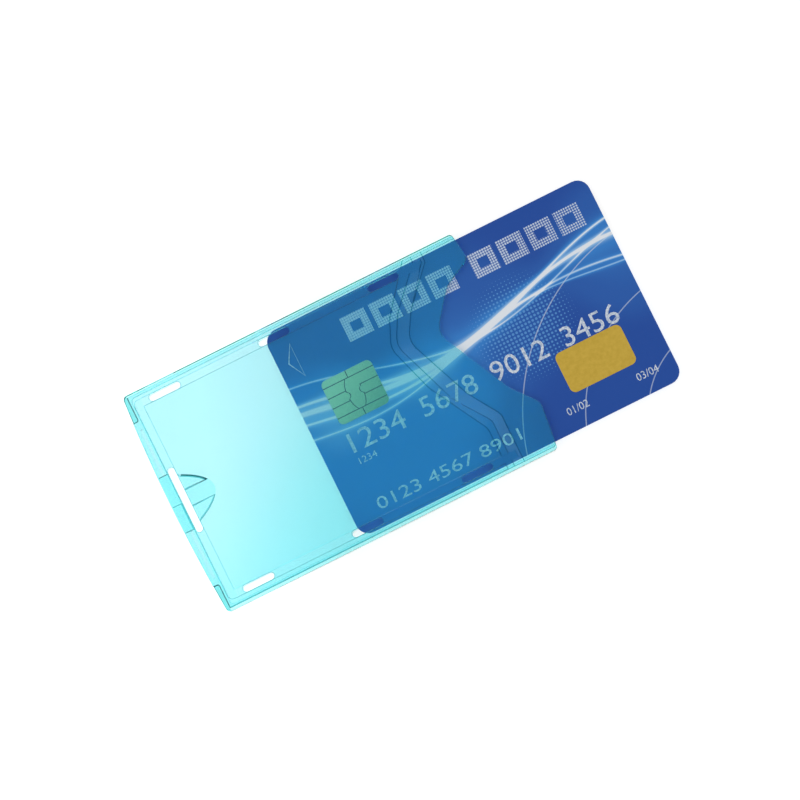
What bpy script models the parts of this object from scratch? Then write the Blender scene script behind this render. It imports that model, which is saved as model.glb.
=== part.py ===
"""Rigid card sleeve with its card half drawn, as separate pieces at real size.

The sleeve is two clear mouldings: a back tray with the pocket for the card, and a front plate
welded on it as a lid. The card is a laminated chip card. Metres, +Z up: +X runs along the sleeve
to its open mouth, +Z points out of the front plate, and the origin is the middle of the tray's
back face. The card slides along X.
"""

import math

import bmesh
import bpy
from mathutils import Vector

MM = 0.001

# Card, to the common ID-1 format
CARD_LENGTH = 85.60 * MM
CARD_WIDTH = 53.98 * MM
CARD_CORNER_RADIUS = 3.18 * MM
OVERLAY_THICKNESS = 0.05 * MM
CORE_THICKNESS = 0.33 * MM
CARD_DRAWN_OUT = 34.45 * MM

# Room left round the card in its pocket
SIDE_CLEARANCE = 0.41 * MM
END_CLEARANCE = 0.50 * MM
FACE_CLEARANCE = 0.32 * MM
POCKET_CORNER_RADIUS = 1.0 * MM

# Back tray
FLOOR_THICKNESS = 1.0 * MM
SIDE_WALL = 1.35 * MM
END_WALL = 1.6 * MM
END_BULGE = 1.0 * MM
MOUTH_BULGE = 2.0 * MM
CLOSED_CORNER_RADIUS = 1.1 * MM
MOUTH_CORNER_RADIUS = 1.0 * MM
BACK_EDGE_RADIUS = 0.3 * MM

# Hollows in the tray's end wall, open at the back, one on each side of a solid middle block
END_BLOCK_WIDTH = 14.6 * MM
END_HOLLOW_LENGTH = 12.5 * MM
END_HOLLOW_WIDTH = 0.7 * MM
END_HOLLOW_DEPTH = 1.5 * MM
END_HOLLOW_WALL = 0.6 * MM

# Front plate, set in from the tray's outline all round but for a tab at the closed end
PLATE_THICKNESS = 1.2 * MM
PLATE_SIDE_INSET = 0.65 * MM
PLATE_CORNER_INSET = 0.9 * MM
PLATE_CORNER_RADIUS = 0.3 * MM
PLATE_TAB_WIDTH = 43.8 * MM

# Groove round the panel, which runs out on the slope down to the lip
GROOVE_DEPTH = 0.4 * MM
GROOVE_WIDTH = 1.9 * MM
GROOVE_INSIDE_CARD_EDGE = 0.55 * MM
GROOVE_FROM_POCKET_END = 0.2 * MM
GROOVE_OUTER_RADIUS = 1.2 * MM
GROOVE_INNER_RADIUS = 0.3 * MM

# Slots in the groove, through both mouldings
SLOT_WIDTH = 1.73 * MM
SIDE_SLOT_LENGTH = 8.2 * MM
SIDE_SLOT_COUNT = 3
FIRST_SLOT_FROM_CLOSED_END = 9.8 * MM
LAST_SLOT_FROM_MOUTH = 19.7 * MM
END_SLOT_LENGTH = 17.1 * MM

# Half-moon beside the end slot: a shallow dip with two deeper D shapes and a bridge between them
MOON_CHORD = 12.6 * MM
MOON_HEIGHT = 6.9 * MM
MOON_DIP = 0.1 * MM
MOON_BRIDGE_WIDTH = 4.0 * MM
MOON_D_DEPTH = 0.3 * MM
MOON_D_INSET = 0.05 * MM

# Thumb notch in the front plate's mouth edge. A place across the plate is its distance from the
# plate's nearer long edge, below zero when that is the -Y edge. The notch's two ends are (place,
# corner radius), and its corners (depth from the mouth's corners, place, corner radius)
NOTCH_LOW_END = (-11.1 * MM, 3.0 * MM)
NOTCH_CORNERS = (
    (3.9 * MM, -17.6 * MM, 8.0 * MM),
    (13.4 * MM, 19.4 * MM, 4.6 * MM),
    (6.4 * MM, 10.3 * MM, 6.0 * MM),
)
NOTCH_HIGH_END = (6.6 * MM, 1.5 * MM)
NOTCH_END_ROOM = 1.7 * MM

# Slope down to the lip at the mouth: its low edge, the shoulder where it steepens, its high edge,
# each as corners like the notch's
LIP_DROP = 0.5 * MM
SHOULDER_DROP = 0.15 * MM
SLOPE_LOW_CORNERS = (
    (8.4 * MM, -12.8 * MM, 2.5 * MM),
    (13.5 * MM, -20.8 * MM, 12.0 * MM),
    (20.4 * MM, 18.1 * MM, 5.0 * MM),
    (16.7 * MM, 11.7 * MM, 8.0 * MM),
    (8.5 * MM, 2.7 * MM, 1.0 * MM),
)
SLOPE_SHOULDER_CORNERS = (
    (11.0 * MM, -12.3 * MM, 3.0 * MM),
    (17.1 * MM, -20.9 * MM, 16.0 * MM),
    (23.5 * MM, 17.7 * MM, 5.0 * MM),
    (19.9 * MM, 11.0 * MM, 8.0 * MM),
    (11.2 * MM, 1.6 * MM, 1.0 * MM),
)
SLOPE_HIGH_CORNERS = (
    (12.7 * MM, -11.0 * MM, 4.0 * MM),
    (21.1 * MM, -26.1 * MM, 12.0 * MM),
    (25.0 * MM, 17.8 * MM, 5.0 * MM),
    (22.0 * MM, 11.0 * MM, 8.0 * MM),
    (13.2 * MM, 0.0 * MM, 1.0 * MM),
)

# Chip module, flush with the card's front
MODULE_LENGTH = 13.2 * MM
MODULE_WIDTH = 11.5 * MM
MODULE_CORNER_RADIUS = 1.3 * MM
MODULE_FROM_INNER_END = 7.3 * MM
MODULE_FROM_TOP_EDGE = 16.3 * MM
MODULE_CLEARANCE = 0.05 * MM
CARRIER_THICKNESS = 0.11 * MM
RESIN_LENGTH = 7.6 * MM
RESIN_WIDTH = 7.0 * MM
RESIN_CORNER_RADIUS = 1.2 * MM
RESIN_DEPTH = 0.36 * MM
DIE_LENGTH = 2.6 * MM
DIE_WIDTH = 2.2 * MM
DIE_THICKNESS = 0.18 * MM

# Contacts: a middle oval between two columns of three, a rim strip in each corner of the module
CONTACT_GAP = 0.22 * MM
RIM_LINE_Y = 3.94 * MM
ROW_LINE_Y = 1.28 * MM
OVAL_HALF_LENGTH = 4.3 * MM
OVAL_HALF_WIDTH = 1.98 * MM
BUMP_RADIUS = 0.93 * MM
BUMP_X = 2.2 * MM
CONTACT_EDGE_STEP = 0.25 * MM

# Stripe, signature panel and foil patch, each sunk flush into the film
INLAY_THICKNESS = 0.03 * MM
INLAY_CLEARANCE = 0.05 * MM
STRIPE_WIDTH = 12.7 * MM
STRIPE_FROM_TOP_EDGE = 3.8 * MM
SIGNATURE_LENGTH = 62.0 * MM
SIGNATURE_WIDTH = 9.5 * MM
SIGNATURE_FROM_TOP_EDGE = 20.5 * MM
SIGNATURE_FROM_INNER_END = 6.0 * MM
PATCH_LENGTH = 17.4 * MM
PATCH_WIDTH = 10.4 * MM
PATCH_CORNER_RADIUS = 1.5 * MM
PATCH_FROM_OUTER_END = 8.1 * MM
PATCH_FROM_BOTTOM_EDGE = 8.3 * MM

# How finely arcs are faceted, and how far a cutter runs past what it cuts
ARC_STEPS = 6
BULGE_STEPS = 12
NOTCHED_EDGE_STEPS = 3
CUT_MARGIN = 1.0 * MM
SAME_POINT = 0.0001 * MM

# Heights, worked out from the values above
CARD_THICKNESS = 2 * OVERLAY_THICKNESS + 2 * CORE_THICKNESS
CARD_BOTTOM = FLOOR_THICKNESS + FACE_CLEARANCE
TRAY_TOP = CARD_BOTTOM + CARD_THICKNESS + FACE_CLEARANCE
PLATE_TOP = TRAY_TOP + PLATE_THICKNESS
GROOVE_FLOOR = PLATE_TOP - GROOVE_DEPTH
SHOULDER_TOP = PLATE_TOP - SHOULDER_DROP
LIP_TOP = PLATE_TOP - LIP_DROP

# Plan of the sleeve, worked out from the card
POCKET_HALF_WIDTH = CARD_WIDTH / 2 + SIDE_CLEARANCE
TRAY_HALF_WIDTH = POCKET_HALF_WIDTH + SIDE_WALL
CORNER_LENGTH = CARD_LENGTH + END_CLEARANCE + END_WALL
MOUTH_X = CORNER_LENGTH / 2
CLOSED_X = -CORNER_LENGTH / 2
POCKET_END_X = CLOSED_X + END_WALL
PAST_MOUTH_X = MOUTH_X + MOUTH_BULGE + CUT_MARGIN
PLATE_HALF_WIDTH = TRAY_HALF_WIDTH - PLATE_SIDE_INSET
PLATE_CORNER_X = CLOSED_X + PLATE_CORNER_INSET
GROOVE_OUTER_Y = CARD_WIDTH / 2 - GROOVE_INSIDE_CARD_EDGE
GROOVE_OUTER_X = POCKET_END_X + GROOVE_FROM_POCKET_END
SIDE_SLOT_Y = GROOVE_OUTER_Y - GROOVE_WIDTH / 2
END_SLOT_X = GROOVE_OUTER_X + GROOVE_WIDTH / 2
MOON_X = GROOVE_OUTER_X + GROOVE_WIDTH

# Plan of the card, from its own middle
CARD_X = MOUTH_X + CARD_DRAWN_OUT - CARD_LENGTH / 2
INNER_END = -CARD_LENGTH / 2
TOP_EDGE = CARD_WIDTH / 2
MODULE_X = INNER_END + MODULE_FROM_INNER_END + MODULE_LENGTH / 2
MODULE_Y = TOP_EDGE - MODULE_FROM_TOP_EDGE - MODULE_WIDTH / 2


def new_collection(name):
    made = bpy.data.collections.new(name)
    bpy.context.scene.collection.children.link(made)
    return made


def new_object(name, mesh, collection):
    made = bpy.data.objects.new(name, mesh)
    collection.objects.link(made)
    return made


def new_material(name, colour, roughness, metallic=0.0, alpha=1.0):
    made = bpy.data.materials.new(name)
    made.use_nodes = True
    shader = made.node_tree.nodes["Principled BSDF"]
    shader.inputs["Base Color"].default_value = (*colour, 1.0)
    shader.inputs["Roughness"].default_value = roughness
    shader.inputs["Metallic"].default_value = metallic
    shader.inputs["Alpha"].default_value = alpha
    made.diffuse_color = (*colour, alpha)
    return made


def with_arcs(corners):
    """The outline through (x, y, radius) corners, each rounded by an arc of its radius."""
    outline = []
    for index, (x, y, radius) in enumerate(corners):
        corner = Vector((x, y))
        back = (Vector(corners[index - 1][:2]) - corner).normalized()
        ahead = (Vector(corners[(index + 1) % len(corners)][:2]) - corner).normalized()
        arc = [corner]
        if radius > 0:
            half = back.angle(ahead) / 2
            centre = corner + (back + ahead).normalized() * radius / math.sin(half)
            first = corner + back * radius / math.tan(half) - centre
            last = corner + ahead * radius / math.tan(half) - centre
            turns = [first.slerp(last, step / ARC_STEPS) for step in range(ARC_STEPS + 1)]
            arc = [centre + radius * turn.normalized() for turn in turns]
        outline += [p for p in arc if not outline or (p - outline[-1]).length > SAME_POINT]
    if (outline[0] - outline[-1]).length <= SAME_POINT:
        outline.pop()
    return [tuple(point) for point in outline]


def rectangle(x, y, length, width, radius=0.0):
    """A rectangle about its middle, with its corners rounded."""
    signs = ((-1, -1), (1, -1), (1, 1), (-1, 1))
    return with_arcs([(x + sx * length / 2, y + sy * width / 2, radius) for sx, sy in signs])


def across(place):
    """Y of a place given by its distance from the plate's nearer long edge."""
    return math.copysign(PLATE_HALF_WIDTH, place) - place


def from_mouth(corners):
    """Corners given by their depth from the mouth and their place across the plate."""
    return [(MOUTH_X - depth, across(place), radius) for depth, place, radius in corners]


def end_edge(side, first_y, last_y, steps, radius=0.0):
    """Corners along a bulged end, side 1 for the mouth and -1 for the closed end.

    The radius is that of the first and the last corner.
    """
    bulge = MOUTH_BULGE if side > 0 else END_BULGE
    curve = (TRAY_HALF_WIDTH**2 + bulge**2) / (2 * bulge)
    made = []
    for step in range(steps + 1):
        y = first_y + (last_y - first_y) * step / steps
        x = CORNER_LENGTH / 2 + bulge - curve + math.sqrt(curve**2 - y**2)
        made.append((side * x, y, radius if step in (0, steps) else 0.0))
    return made


def slab(name, outline, low, high, collection):
    """A flat outline extruded from one height to another, as a closed mesh."""
    curve = bpy.data.curves.new(name, "CURVE")
    curve.dimensions = "2D"
    curve.fill_mode = "BOTH"
    curve.extrude = (high - low) / 2
    spline = curve.splines.new("POLY")
    spline.points.add(len(outline) - 1)
    for point, (x, y) in zip(spline.points, outline):
        point.co = (x, y, 0.0, 1.0)
    spline.use_cyclic_u = True
    guide = new_object(name, curve, collection)
    bpy.context.view_layer.update()
    graph = bpy.context.evaluated_depsgraph_get()
    mesh = bpy.data.meshes.new_from_object(guide.evaluated_get(graph))
    bpy.data.objects.remove(guide)
    shape = bmesh.new()
    shape.from_mesh(mesh)
    bmesh.ops.remove_doubles(shape, verts=shape.verts, dist=SAME_POINT)
    bmesh.ops.recalc_face_normals(shape, faces=shape.faces)
    shape.to_mesh(mesh)
    shape.free()
    mesh.name = name
    made = new_object(name, mesh, collection)
    made.location.z = (low + high) / 2
    return made


def loft(name, sections, collection):
    """A closed solid up through (outline, height) sections, each anticlockwise and as long."""
    shape = bmesh.new()
    rings = [[shape.verts.new((x, y, height)) for x, y in outline] for outline, height in sections]
    for lower, upper in zip(rings, rings[1:]):
        for index in range(len(lower)):
            after = (index + 1) % len(lower)
            shape.faces.new((lower[index], lower[after], upper[after], upper[index]))
    shape.faces.new(reversed(rings[0]))
    shape.faces.new(rings[-1])
    mesh = bpy.data.meshes.new(name)
    shape.to_mesh(mesh)
    shape.free()
    return new_object(name, mesh, collection)


def round_low_edge(obj, radius):
    """Rounds the outline at the bottom of a slab."""
    shape = bmesh.new()
    shape.from_mesh(obj.data)
    lowest = min(vert.co.z for vert in shape.verts)
    base = {face for face in shape.faces if max(v.co.z for v in face.verts) < lowest + SAME_POINT}
    rim = [edge for edge in shape.edges if len(base.intersection(edge.link_faces)) == 1]
    bmesh.ops.bevel(
        shape, geom=rim, offset=radius, segments=2, profile=0.5, affect="EDGES", material=-1
    )
    shape.to_mesh(obj.data)
    shape.free()


def cut(obj, *cutters, solver="EXACT"):
    """Takes each cutter out of the object."""
    for cutter in cutters:
        cutter.hide_render = True
        cutter.display_type = "WIRE"
        cutter.parent = obj.parent
        modifier = obj.modifiers.new(cutter.name, "BOOLEAN")
        modifier.operation = "DIFFERENCE"
        modifier.solver = solver
        modifier.object = cutter


def tray_outline():
    width = TRAY_HALF_WIDTH
    return with_arcs(
        end_edge(1, -width, width, BULGE_STEPS, MOUTH_CORNER_RADIUS)
        + end_edge(-1, width, -width, BULGE_STEPS, CLOSED_CORNER_RADIUS)
    )


def plate_outline():
    """The front plate's outline, with the thumb notch and the tab at the closed end."""
    width = PLATE_HALF_WIDTH
    tab_width = PLATE_TAB_WIDTH / 2
    low_y, high_y = across(NOTCH_LOW_END[0]), across(NOTCH_HIGH_END[0])
    low_edge = end_edge(1, -width, low_y - NOTCH_END_ROOM, NOTCHED_EDGE_STEPS)
    high_edge = end_edge(1, high_y + NOTCH_END_ROOM, width, NOTCHED_EDGE_STEPS)
    ends = end_edge(1, low_y, high_y, 1)
    return with_arcs(
        [
            (*low_edge[0][:2], MOUTH_CORNER_RADIUS),
            *low_edge[1:],
            (*ends[0][:2], NOTCH_LOW_END[1]),
            *from_mouth(NOTCH_CORNERS),
            (*ends[1][:2], NOTCH_HIGH_END[1]),
            *high_edge[:-1],
            (*high_edge[-1][:2], MOUTH_CORNER_RADIUS),
            (PLATE_CORNER_X, width, PLATE_CORNER_RADIUS),
            (PLATE_CORNER_X, tab_width, PLATE_CORNER_RADIUS),
            *end_edge(-1, tab_width, -tab_width, BULGE_STEPS, PLATE_CORNER_RADIUS),
            (PLATE_CORNER_X, -tab_width, PLATE_CORNER_RADIUS),
            (PLATE_CORNER_X, -width, PLATE_CORNER_RADIUS),
        ]
    )


def groove_outline():
    """The groove's U shape, open at the mouth."""
    inner_x = GROOVE_OUTER_X + GROOVE_WIDTH
    inner_y = GROOVE_OUTER_Y - GROOVE_WIDTH
    return with_arcs(
        [
            (PAST_MOUTH_X, GROOVE_OUTER_Y, 0.0),
            (GROOVE_OUTER_X, GROOVE_OUTER_Y, GROOVE_OUTER_RADIUS),
            (GROOVE_OUTER_X, -GROOVE_OUTER_Y, GROOVE_OUTER_RADIUS),
            (PAST_MOUTH_X, -GROOVE_OUTER_Y, 0.0),
            (PAST_MOUTH_X, -inner_y, 0.0),
            (inner_x, -inner_y, GROOVE_INNER_RADIUS),
            (inner_x, inner_y, GROOVE_INNER_RADIUS),
            (PAST_MOUTH_X, inner_y, 0.0),
        ]
    )


def lip_outline(slope_corners):
    """What lies on the mouth's side of one line along the slope."""
    past_side = TRAY_HALF_WIDTH + CUT_MARGIN
    return with_arcs(
        [
            (PAST_MOUTH_X, -past_side, 0.0),
            (PAST_MOUTH_X, past_side, 0.0),
            (MOUTH_X - slope_corners[-1][0], past_side, 0.0),
            *reversed(from_mouth(slope_corners)),
            (MOUTH_X - slope_corners[0][0], -past_side, 0.0),
        ]
    )


def moon_outline(y_low, y_high, inset):
    """The part of the half-moon's parabola between two Y values, open to the groove."""
    height = MOON_HEIGHT - inset
    chord = MOON_CHORD - 2 * inset
    outline = [(END_SLOT_X, y_high), (END_SLOT_X, y_low)]
    for step in range(BULGE_STEPS + 1):
        y = y_low + (y_high - y_low) * step / BULGE_STEPS
        outline.append((MOON_X + height * (1 - (2 * y / chord) ** 2), y))
    return outline


def slot_cutters(prefix, collection):
    """Cutters of the see-through slots, tall enough for both mouldings."""
    low = -CUT_MARGIN
    high = PLATE_TOP + CUT_MARGIN
    first = CLOSED_X + FIRST_SLOT_FROM_CLOSED_END
    spacing = (MOUTH_X - LAST_SLOT_FROM_MOUTH - first) / (SIDE_SLOT_COUNT - 1)
    made = []
    for side, word in ((1, "top"), (-1, "bottom")):
        for number in range(SIDE_SLOT_COUNT):
            outline = rectangle(
                first + number * spacing,
                side * SIDE_SLOT_Y,
                SIDE_SLOT_LENGTH,
                SLOT_WIDTH,
                SLOT_WIDTH / 2,
            )
            name = f"{prefix}_slot_{word}_{number + 1}"
            made.append(slab(name, outline, low, high, collection))
    outline = rectangle(END_SLOT_X, 0.0, SLOT_WIDTH, END_SLOT_LENGTH, SLOT_WIDTH / 2)
    made.append(slab(f"{prefix}_slot_end", outline, low, high, collection))
    return made


def make_back_tray(parts, cutters, look):
    tray = slab("back_tray", tray_outline(), 0.0, TRAY_TOP, parts)
    round_low_edge(tray, BACK_EDGE_RADIUS)
    tray.data.materials.append(look)
    pocket_outer_x = PAST_MOUTH_X + POCKET_CORNER_RADIUS
    pocket = slab(
        "pocket_cutter",
        rectangle(
            (POCKET_END_X + pocket_outer_x) / 2,
            0.0,
            pocket_outer_x - POCKET_END_X,
            2 * POCKET_HALF_WIDTH,
            POCKET_CORNER_RADIUS,
        ),
        FLOOR_THICKNESS,
        TRAY_TOP + CUT_MARGIN,
        cutters,
    )
    hollow_x = POCKET_END_X - END_HOLLOW_WALL - END_HOLLOW_WIDTH / 2
    hollows = []
    for side, word in ((1, "top"), (-1, "bottom")):
        hollow_y = side * (END_BLOCK_WIDTH + END_HOLLOW_LENGTH) / 2
        outline = rectangle(hollow_x, hollow_y, END_HOLLOW_WIDTH, END_HOLLOW_LENGTH)
        name = f"end_hollow_cutter_{word}"
        hollows.append(slab(name, outline, -CUT_MARGIN, END_HOLLOW_DEPTH, cutters))
    cut(tray, pocket, *hollows, *slot_cutters("tray", cutters))


def make_front_plate(parts, cutters, look):
    plate = slab("front_plate", plate_outline(), TRAY_TOP, PLATE_TOP, parts)
    plate.data.materials.append(look)
    above = PLATE_TOP + CUT_MARGIN
    groove = slab("groove_cutter", groove_outline(), GROOVE_FLOOR, above, cutters)
    high_edge = lip_outline(SLOPE_HIGH_CORNERS)
    lip = loft(
        "lip_cutter",
        (
            (lip_outline(SLOPE_LOW_CORNERS), LIP_TOP),
            (lip_outline(SLOPE_SHOULDER_CORNERS), SHOULDER_TOP),
            (high_edge, PLATE_TOP),
            (high_edge, above),
        ),
        cutters,
    )
    half_chord = MOON_CHORD / 2
    dip_outline = moon_outline(-half_chord, half_chord, 0.0)
    moon = [slab("moon_dip_cutter", dip_outline, PLATE_TOP - MOON_DIP, above, cutters)]
    bridge_edge = MOON_BRIDGE_WIDTH / 2
    d_edge = half_chord - MOON_D_INSET
    for word, low, high in (("top", bridge_edge, d_edge), ("bottom", -d_edge, -bridge_edge)):
        outline = moon_outline(low, high, MOON_D_INSET)
        name = f"moon_d_cutter_{word}"
        moon.append(slab(name, outline, PLATE_TOP - MOON_D_DEPTH, above, cutters))
    # The shallow dip in the large panel is where the exact solver leaves holes.
    cut(plate, groove, lip, *moon, *slot_cutters("plate", cutters), solver="MANIFOLD")


def card_slab(name, outline, low, high, collection, carrier):
    """A slab of the card: heights are from the card's back, and it rides on the carrier."""
    made = slab(name, outline, low, high, collection)
    made.parent = carrier
    return made


def make_card_sheets(parts, cutters, looks, carrier):
    """Two core sheets and two films, with the stepped chip pocket through them."""
    outline = rectangle(0.0, 0.0, CARD_LENGTH, CARD_WIDTH, CARD_CORNER_RADIUS)
    film_low = OVERLAY_THICKNESS
    cores_meet = film_low + CORE_THICKNESS
    film_high = cores_meet + CORE_THICKNESS
    sheets = (
        ("card_back_overlay", 0.0, film_low, looks["film"]),
        ("card_back_core", film_low, cores_meet, looks["core"]),
        ("card_front_core", cores_meet, film_high, looks["print"]),
        ("card_front_overlay", film_high, CARD_THICKNESS, looks["film"]),
    )
    made = {}
    for name, low, high, look in sheets:
        made[name] = card_slab(name, outline, low, high, parts, carrier)
        made[name].data.materials.append(look)

    window = rectangle(
        MODULE_X,
        MODULE_Y,
        MODULE_LENGTH + 2 * MODULE_CLEARANCE,
        MODULE_WIDTH + 2 * MODULE_CLEARANCE,
        MODULE_CORNER_RADIUS + MODULE_CLEARANCE,
    )
    well = rectangle(
        MODULE_X,
        MODULE_Y,
        RESIN_LENGTH + 2 * MODULE_CLEARANCE,
        RESIN_WIDTH + 2 * MODULE_CLEARANCE,
        RESIN_CORNER_RADIUS + MODULE_CLEARANCE,
    )
    above = CARD_THICKNESS + CUT_MARGIN
    seat = film_high - CARRIER_THICKNESS
    well_floor = seat - RESIN_DEPTH - MODULE_CLEARANCE
    card_cut(made["card_front_overlay"], "module_window_cutter", window, film_low, above, cutters)
    card_cut(made["card_front_core"], "module_seat_cutter", window, seat, above, cutters)
    card_cut(made["card_front_core"], "resin_well_cutter", well, film_low, above, cutters)
    card_cut(made["card_back_core"], "resin_floor_cutter", well, well_floor, above, cutters)
    return made


def card_cut(sheet, name, outline, low, high, cutters):
    cut(sheet, slab(name, outline, low, high, cutters))


def make_chip(parts, cutters, looks, carrier):
    """Carrier tape, resin drop, silicon die and the contact plates."""
    contact_low = CARD_THICKNESS - OVERLAY_THICKNESS
    tape_low = contact_low - CARRIER_THICKNESS
    tape_outline = rectangle(MODULE_X, MODULE_Y, MODULE_LENGTH, MODULE_WIDTH, MODULE_CORNER_RADIUS)
    tape = card_slab("chip_carrier", tape_outline, tape_low, contact_low, parts, carrier)
    tape.data.materials.append(looks["tape"])

    resin_outline = rectangle(MODULE_X, MODULE_Y, RESIN_LENGTH, RESIN_WIDTH, RESIN_CORNER_RADIUS)
    resin_low = tape_low - RESIN_DEPTH
    resin = card_slab("chip_encapsulant", resin_outline, resin_low, tape_low, parts, carrier)
    resin.data.materials.append(looks["resin"])
    die_low = tape_low - DIE_THICKNESS
    die_outline = rectangle(MODULE_X, MODULE_Y, DIE_LENGTH, DIE_WIDTH)
    die = card_slab("chip_die", die_outline, die_low, tape_low, parts, carrier)
    die.data.materials.append(looks["silicon"])
    die_room = rectangle(
        MODULE_X, MODULE_Y, DIE_LENGTH + 2 * MODULE_CLEARANCE, DIE_WIDTH + 2 * MODULE_CLEARANCE
    )
    room_low = die_low - MODULE_CLEARANCE
    card_cut(resin, "die_room_cutter", die_room, room_low, contact_low, cutters)

    for name, corners in contact_plates():
        plate = card_slab(
            name, with_arcs(corners), contact_low, CARD_THICKNESS, parts, carrier
        )
        plate.data.materials.append(looks["gold"])


def contact_edge(side, first_y, last_y, offset):
    """Corners down the line between a column (side -1 or 1) and the middle oval.

    The line is the oval's edge, pushed in by the bump on each middle contact. Y is from the
    module's middle, and the offset moves the corners outwards.
    """
    steps = max(2, round(abs(last_y - first_y) / CONTACT_EDGE_STEP))
    made = []
    for step in range(steps + 1):
        y = first_y + (last_y - first_y) * step / steps
        x = OVAL_HALF_WIDTH * math.sqrt(1 - (y / OVAL_HALF_LENGTH) ** 2)
        if abs(y) < BUMP_RADIUS:
            x = min(x, BUMP_X - math.sqrt(BUMP_RADIUS**2 - y**2))
        made.append((MODULE_X + side * (x + offset), MODULE_Y + y, 0.0))
    return made


def contact_plates():
    """(name, corners) of the contacts: 1 to 3 down the left column, 5 to 7 down the right one.

    Contact 5 also takes the middle oval. The rim strips follow the module's corners.
    """
    half_gap = CONTACT_GAP / 2
    end_x = MODULE_LENGTH / 2
    rim_y = MODULE_WIDTH / 2
    low_rim = RIM_LINE_Y + half_gap
    made = []
    for row, (high, low) in enumerate(
        (
            (RIM_LINE_Y - half_gap, ROW_LINE_Y + half_gap),
            (ROW_LINE_Y - half_gap, -ROW_LINE_Y + half_gap),
            (-ROW_LINE_Y - half_gap, -RIM_LINE_Y + half_gap),
        )
    ):
        left = [(MODULE_X - end_x, MODULE_Y + high, 0.0), (MODULE_X - end_x, MODULE_Y + low, 0.0)]
        right = [(MODULE_X + end_x, MODULE_Y + low, 0.0), (MODULE_X + end_x, MODULE_Y + high, 0.0)]
        made.append((f"contact_c{row + 1}", left + contact_edge(-1, low, high, half_gap)))
        if row == 0:
            oval = contact_edge(-1, high, -high, -half_gap) + contact_edge(1, -high, low, -half_gap)
            made.append(("contact_c5", oval + right))
        else:
            made.append((f"contact_c{row + 5}", right + contact_edge(1, high, low, half_gap)))
    for end, end_word in ((-1, "left"), (1, "right")):
        for side, side_word in ((1, "top"), (-1, "bottom")):
            corners = [
                (MODULE_X + end * half_gap, MODULE_Y + side * low_rim, 0.0),
                (MODULE_X + end * end_x, MODULE_Y + side * low_rim, 0.0),
                (MODULE_X + end * end_x, MODULE_Y + side * rim_y, MODULE_CORNER_RADIUS),
                (MODULE_X + end * half_gap, MODULE_Y + side * rim_y, 0.0),
            ]
            made.append((f"contact_rim_{side_word}_{end_word}", corners))
    return made


def make_inlays(parts, cutters, looks, sheets, carrier):
    """The stripe and signature panel in the back film, and the foil patch in the front film."""
    patch_x = CARD_LENGTH / 2 - PATCH_FROM_OUTER_END - PATCH_LENGTH / 2
    patch_y = PATCH_FROM_BOTTOM_EDGE + PATCH_WIDTH / 2 - CARD_WIDTH / 2
    signature_x = INNER_END + SIGNATURE_FROM_INNER_END + SIGNATURE_LENGTH / 2
    signature_y = TOP_EDGE - SIGNATURE_FROM_TOP_EDGE - SIGNATURE_WIDTH / 2
    stripe_y = TOP_EDGE - STRIPE_FROM_TOP_EDGE - STRIPE_WIDTH / 2
    front = (CARD_THICKNESS - INLAY_THICKNESS, CARD_THICKNESS, CARD_THICKNESS + CUT_MARGIN)
    back = (0.0, INLAY_THICKNESS, -CUT_MARGIN)
    inlays = (
        ("magnetic_stripe", 0.0, stripe_y, CARD_LENGTH, STRIPE_WIDTH, 0.0, back, "stripe"),
        (
            "signature_panel",
            signature_x,
            signature_y,
            SIGNATURE_LENGTH,
            SIGNATURE_WIDTH,
            0.0,
            back,
            "paper",
        ),
        ("foil_patch", patch_x, patch_y, PATCH_LENGTH, PATCH_WIDTH, PATCH_CORNER_RADIUS, front, "foil"),
    )
    for name, x, y, length, width, radius, (low, high, outside), look in inlays:
        inlay = card_slab(
            name, rectangle(x, y, length, width, radius), low, high, parts, carrier
        )
        inlay.data.materials.append(looks[look])
        sheet = sheets["card_back_overlay" if outside < 0 else "card_front_overlay"]
        room = rectangle(
            x,
            y,
            length + 2 * INLAY_CLEARANCE,
            width + 2 * INLAY_CLEARANCE,
            radius + INLAY_CLEARANCE if radius else 0.0,
        )
        card_cut(sheet, name + "_cutter", room, min(low, outside), max(high, outside), cutters)


def main():
    for obj in list(bpy.data.objects):
        bpy.data.objects.remove(obj, do_unlink=True)
    parts = new_collection("card_sleeve")
    cutters = new_collection("cutters")
    looks = {
        "clear": new_material("clear_turquoise", (0.25, 0.86, 0.88), 0.08, alpha=0.35),
        "film": new_material("clear_film", (0.92, 0.95, 1.0), 0.12, alpha=0.25),
        "print": new_material("blue_print", (0.03, 0.08, 0.34), 0.3),
        "core": new_material("white_core", (0.9, 0.9, 0.9), 0.5),
        "tape": new_material("epoxy_tape", (0.55, 0.45, 0.2), 0.6),
        "resin": new_material("black_resin", (0.02, 0.02, 0.02), 0.5),
        "silicon": new_material("silicon", (0.25, 0.26, 0.3), 0.3, metallic=0.5),
        "gold": new_material("contact_gold", (0.85, 0.66, 0.28), 0.3, metallic=1.0),
        "stripe": new_material("magnetic_black", (0.03, 0.02, 0.02), 0.4),
        "paper": new_material("signature_white", (0.88, 0.88, 0.84), 0.8),
        "foil": new_material("amber_foil", (0.62, 0.38, 0.03), 0.3, metallic=0.4),
    }
    make_back_tray(parts, cutters, looks["clear"])
    make_front_plate(parts, cutters, looks["clear"])

    carrier = new_object("card_slide", None, parts)
    carrier.location = (CARD_X, 0.0, CARD_BOTTOM)
    sheets = make_card_sheets(parts, cutters, looks, carrier)
    make_chip(parts, cutters, looks, carrier)
    make_inlays(parts, cutters, looks, sheets, carrier)


main()
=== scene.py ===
# %% [markdown]
# # A rigid card sleeve, lit like a catalogue photograph
#
# The object is a flat sleeve of clear turquoise plastic with a chip card half drawn out of it. Its
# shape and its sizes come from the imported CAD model, which this script loads as a fixed frame. What
# follows gives each piece the edges, prints and finishes that the real one has, then the light and
# the camera of the photograph.

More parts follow.
